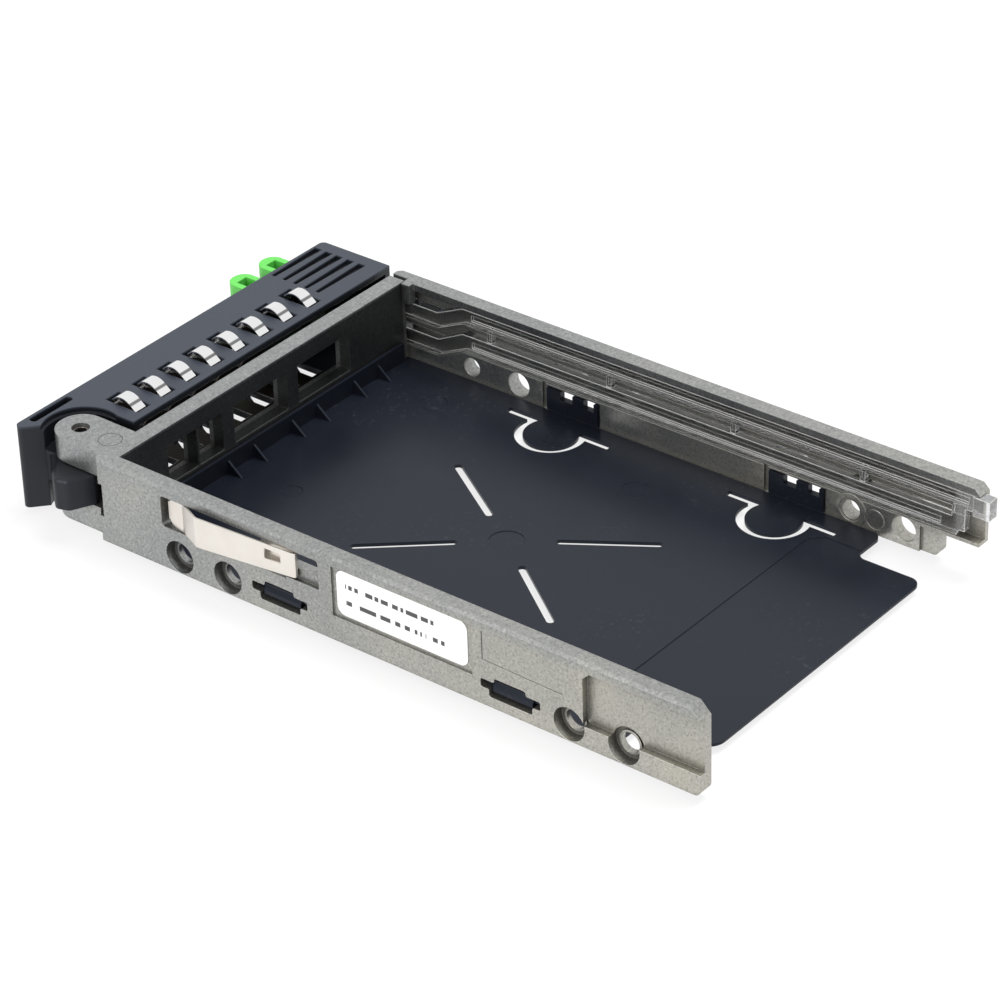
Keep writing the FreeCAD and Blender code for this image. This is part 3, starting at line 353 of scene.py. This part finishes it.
def label_material():
    dull_paper, white_paper = (0.80, 0.80, 0.78, 1.0), (0.88, 0.88, 0.87, 1.0)
    ink = (0.06, 0.06, 0.065, 1.0)
    bars_per_metre, bar_level = 1050.0, 0.45
    upper_row = (0.0102, 0.0110, 0.0508, 0.0680, 0.1)
    lower_row = (0.0073, 0.0081, 0.0508, 0.0700, 3.7)
    material, tree, shader = new_material("label paper")
    place, along = own_place(tree)
    bars = 0.0
    for low, high, start, stop, seed in (upper_row, lower_row):
        inside = 1.0
        for axis, first, last in (("Z", low, high), ("Y", start, stop)):
            past_first = worked(tree, "GREATER_THAN", along[axis], first)
            before_last = worked(tree, "LESS_THAN", along[axis], last)
            band = worked(tree, "MULTIPLY", past_first, before_last)
            inside = worked(tree, "MULTIPLY", inside, band)
        stretch = add(tree, "ShaderNodeMapping")
        stretch.inputs["Scale"].default_value = (0.0, bars_per_metre, 0.0)
        stretch.inputs["Location"].default_value = (seed, 0.0, seed)
        link(tree, place, stretch.inputs["Vector"])
        mark = worked(tree, "GREATER_THAN", noise(tree, stretch.outputs["Vector"], 1.0, 0.0),
                      bar_level)
        bars = worked(tree, "ADD", bars, worked(tree, "MULTIPLY", inside, mark))
    grain = use_group(tree, GRAIN, Fine=2600.0, Wide=150.0)
    edge = use_group(tree, SOFT_EDGE, Radius=0.00004)
    paper = mixed(tree, grain["Stain"], dull_paper, white_paper)
    link(tree, mixed(tree, bars, paper, ink), shader.inputs["Base Color"])
    shader.inputs["Roughness"].default_value = 0.55
    bumped(tree, shader, grain["Grain"], 0.1, 0.00002, edge["Normal"])
    return material


finish("label", label_material())

# Lever: one black moulding with the fine texture of a spark-eroded mould, a
# channel that is open to the rear and carries the hub and cam nose. Its top
# faces are painted paler, a painted sheen for the light they catch.


def lever_material():
    black, soft_black = (0.006, 0.0066, 0.0084, 1.0), (0.009, 0.0100, 0.0126, 1.0)
    worn_black = (0.030, 0.032, 0.037, 1.0)
    top_sheen_black = (0.027, 0.032, 0.044, 1.0)
    cool_gloss = (0.86, 0.91, 1.0, 1.0)
    below_top, top_face = 0.0146, 0.0148
    material, tree, shader = new_material("textured black moulding")
    grain = use_group(tree, GRAIN, Fine=3200.0, Wide=70.0)
    edge = use_group(tree, SOFT_EDGE, Radius=0.0003)
    along = own_place(tree)[1]
    skin = mixed(tree, grain["Stain"], black, soft_black)
    skin = mixed(tree, spread(tree, edge["Edge"], 0.0, 1.0, 0.0, 0.3), skin, worn_black)
    # Painted sheen: the top faces are lifted towards a paler blue-black.
    skin = mixed(tree, spread(tree, along["Z"], below_top, top_face, 0.0, 1.0), skin,
                 top_sheen_black)
    link(tree, skin, shader.inputs["Base Color"])
    link(tree, spread(tree, grain["Grain"], 0.3, 0.7, 0.36, 0.46), shader.inputs["Roughness"])
    shader.inputs["Specular IOR Level"].default_value = 0.40
    shader.inputs["Specular Tint"].default_value = cool_gloss
    bumped(tree, shader, grain["Grain"], 0.25, 0.00004, edge["Normal"])
    return material


finish("lever", lever_material())

# Shield: bright spring sheet folded inside the lever, with a sprung finger through
# each of the lever's windows. Inside the lever it is rougher, with painted shade.


def shield_material():
    soft_bright, full_bright = (0.76, 0.76, 0.77, 1.0), (0.88, 0.88, 0.88, 1.0)
    crease_shade_grey = (0.10, 0.10, 0.10, 1.0)
    inside_shade_sheet = (0.07, 0.062, 0.054, 1.0)
    mid_height = 0.0075
    lever_face, under_face = 0.0066, 0.0060
    crease_place, crease_rim, crease_line = -0.0063, 0.00026, 0.00014
    material, tree, shader = new_material("bright spring sheet")
    along = own_place(tree)[1]
    height = worked(tree, "ABSOLUTE", worked(tree, "SUBTRACT", along["Z"], mid_height))
    inside = spread(tree, height, lever_face, under_face, 0.0, 1.0)
    grain = use_group(tree, GRAIN, Fine=1500.0, Wide=200.0)
    bright = mixed(tree, grain["Stain"], soft_bright, full_bright)
    # Painted shade: a dark line along the fingers' crease.
    off_crease = worked(tree, "ABSOLUTE", worked(tree, "SUBTRACT", along["Y"], crease_place))
    crease_shaded = mixed(tree, spread(tree, off_crease, crease_rim, crease_line, 0.0, 0.85), bright,
                    crease_shade_grey)
    # Painted shade: inside the lever the sheet is painted dark.
    link(tree, mixed(tree, inside, crease_shaded, inside_shade_sheet), shader.inputs["Base Color"])
    shader.inputs["Metallic"].default_value = 1.0
    link(tree, spread(tree, inside, 0.0, 1.0, 0.14, 0.45), shader.inputs["Roughness"])
    return material


finish("emi_shield", shield_material())

# Release tongues: two green mouldings that stand out of the lever's front and
# are pinched together. Inside the lever they are painted dark with painted shade.


def tongue_material():
    deep_green, bright_green = (0.085, 0.47, 0.065, 1.0), (0.12, 0.56, 0.085, 1.0)
    shade_green = (0.004, 0.010, 0.004, 1.0)
    lever_front, behind_front = -0.0176, -0.0168
    material, tree, shader = new_material("green moulding")
    grain = use_group(tree, GRAIN, Fine=2200.0, Wide=160.0)
    edge = use_group(tree, SOFT_EDGE, Radius=0.0003)
    along = own_place(tree)[1]
    green_skin = mixed(tree, grain["Stain"], deep_green, bright_green)
    # Painted shade: behind the lever's front the green is painted nearly black.
    shaded_inside_lever = mixed(tree, spread(tree, along["Y"], lever_front, behind_front, 0.0, 0.97),
                  green_skin, shade_green)
    link(tree, shaded_inside_lever, shader.inputs["Base Color"])
    shader.inputs["Roughness"].default_value = 0.42
    shader.inputs["Subsurface Weight"].default_value = 0.1
    shader.inputs["Subsurface Radius"].default_value = (0.0004, 0.001, 0.0004)
    bumped(tree, shader, grain["Grain"], 0.1, 0.00003, edge["Normal"])
    return material


green = tongue_material()
finish("release_tongue_a", green)
finish("release_tongue_b", green)

# Latch spring: a small coil of bright spring wire between the tongues, which
# presses them apart. The coil is cut at its middle into two halves, both held on the lever.

wire = shield_material()


def coil_half(name, keep_upper):
    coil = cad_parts["latch_spring"]
    middle, along_x = (-0.0264, 0.0, 0.0), (1.0, 0.0, 0.0)
    same_point, on_plane = 0.000001, 0.0000001
    half = bmesh.new()
    half.from_mesh(coil.data)
    half.transform(coil.matrix_world)
    bmesh.ops.remove_doubles(half, verts=half.verts, dist=same_point)
    bmesh.ops.bisect_plane(half, geom=half.verts[:] + half.edges[:] + half.faces[:],
                           dist=on_plane, plane_co=middle, plane_no=along_x,
                           clear_inner=keep_upper, clear_outer=not keep_upper)
    cut = [edge for edge in half.edges if edge.is_boundary]
    bmesh.ops.holes_fill(half, edges=cut, sides=0)
    bmesh.ops.recalc_face_normals(half, faces=half.faces)
    mesh = bpy.data.meshes.new(name)
    half.to_mesh(mesh)
    half.free()
    mesh.materials.append(wire)
    piece = bpy.data.objects.new(name, mesh)
    bpy.context.scene.collection.objects.link(piece)
    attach(piece, "lever_body")
    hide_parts("latch_spring")
    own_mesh(piece)


coil_half("latch_spring_upper", True)
coil_half("latch_spring_lower", False)

# Place, light and camera: a white floor and white surroundings, a lamp above
# that no gloss mirrors, and a lower one from the camera's left, at the
# photograph's angle.


def seen_directly(tree, *rays):
    """1 where one of these kinds of ray looks, such as Is Camera Ray."""
    path = add(tree, "ShaderNodeLightPath")
    seen = 0.0
    for ray in rays:
        seen = worked(tree, "MAXIMUM", seen, path.outputs[ray])
    return seen


def floor_piece():
    floor_grey = (0.86, 0.86, 0.86, 1.0)
    reach, gap, white_share = 3.0, 0.00002, 0.8
    floor = bmesh.new()
    bmesh.ops.create_grid(floor, x_segments=1, y_segments=1, size=reach)
    bmesh.ops.translate(floor, vec=(0.0, 0.0, cad_box[0][2] - gap), verts=floor.verts)
    mesh = bpy.data.meshes.new("floor")
    floor.to_mesh(mesh)
    floor.free()
    piece = bpy.data.objects.new("floor", mesh)
    bpy.context.scene.collection.objects.link(piece)
    material, tree, shader = new_material("white floor")
    shader.inputs["Base Color"].default_value = floor_grey
    shader.inputs["Roughness"].default_value = 0.9
    shader.inputs["Specular IOR Level"].default_value = 0.0
    glow = add(tree, "ShaderNodeEmission")
    glow.inputs["Strength"].default_value = 1.0
    # The camera sees a share of the plain floor, which keeps the object's shadow.
    whole = seen_directly(tree, "Is Glossy Ray", "Is Transmission Ray")
    white = worked(tree, "MULTIPLY_ADD", seen_directly(tree, "Is Camera Ray"), white_share, whole)
    white.node.use_clamp = True
    blend = add(tree, "ShaderNodeMixShader")
    link(tree, white, blend.inputs["Fac"])
    link(tree, shader.outputs["BSDF"], blend.inputs[1])
    link(tree, glow.outputs["Emission"], blend.inputs[2])
    link(tree, blend.outputs["Shader"], tree.nodes["Material Output"].inputs["Surface"])
    mesh.materials.append(material)


def surroundings():
    light_on_object, white = 0.68, 1.0
    world = bpy.data.worlds.new("white surroundings")
    world.use_nodes = True
    tree = world.node_tree
    back = tree.nodes["Background"]
    back.inputs["Color"].default_value = (1.0, 1.0, 1.0, 1.0)
    seen = seen_directly(tree, "Is Camera Ray", "Is Transmission Ray", "Is Glossy Ray")
    link(tree, spread(tree, seen, 0.0, 1.0, light_on_object, white), back.inputs["Strength"])
    bpy.context.scene.world = world


def lamp(name, place, power, mirrored):
    middle, wide = (0.0, 0.05, 0.0), 0.5
    data = bpy.data.lights.new(name, "AREA")
    data.shape = "DISK"
    data.size = wide
    data.energy = power
    piece = bpy.data.objects.new(name, data)
    bpy.context.scene.collection.objects.link(piece)
    piece.location = place
    piece.visible_glossy = mirrored
    way = Vector(middle) - Vector(place)
    piece.rotation_euler = way.to_track_quat("-Z", "Y").to_euler()


floor_piece()
surroundings()
lamp("upper lamp", (-0.25, 0.15, 0.75), 7.0, False)
lamp("side lamp", (0.75, 0.05, 0.35), 3.0, True)

camera_data = bpy.data.cameras.new("camera")
camera_data.sensor_width = 36.0
camera_data.lens = 145.81
camera_data.clip_start = 0.05
camera_data.clip_end = 20.0
camera = bpy.data.objects.new("camera", camera_data)
camera.location = (0.417293, 0.393616, 0.34322)
camera.rotation_euler = [math.radians(turn) for turn in (58.0758, 1.5935, 128.4228)]
bpy.context.scene.collection.objects.link(camera)
bpy.context.scene.camera = camera
bpy.context.scene.view_settings.view_transform = "Standard"
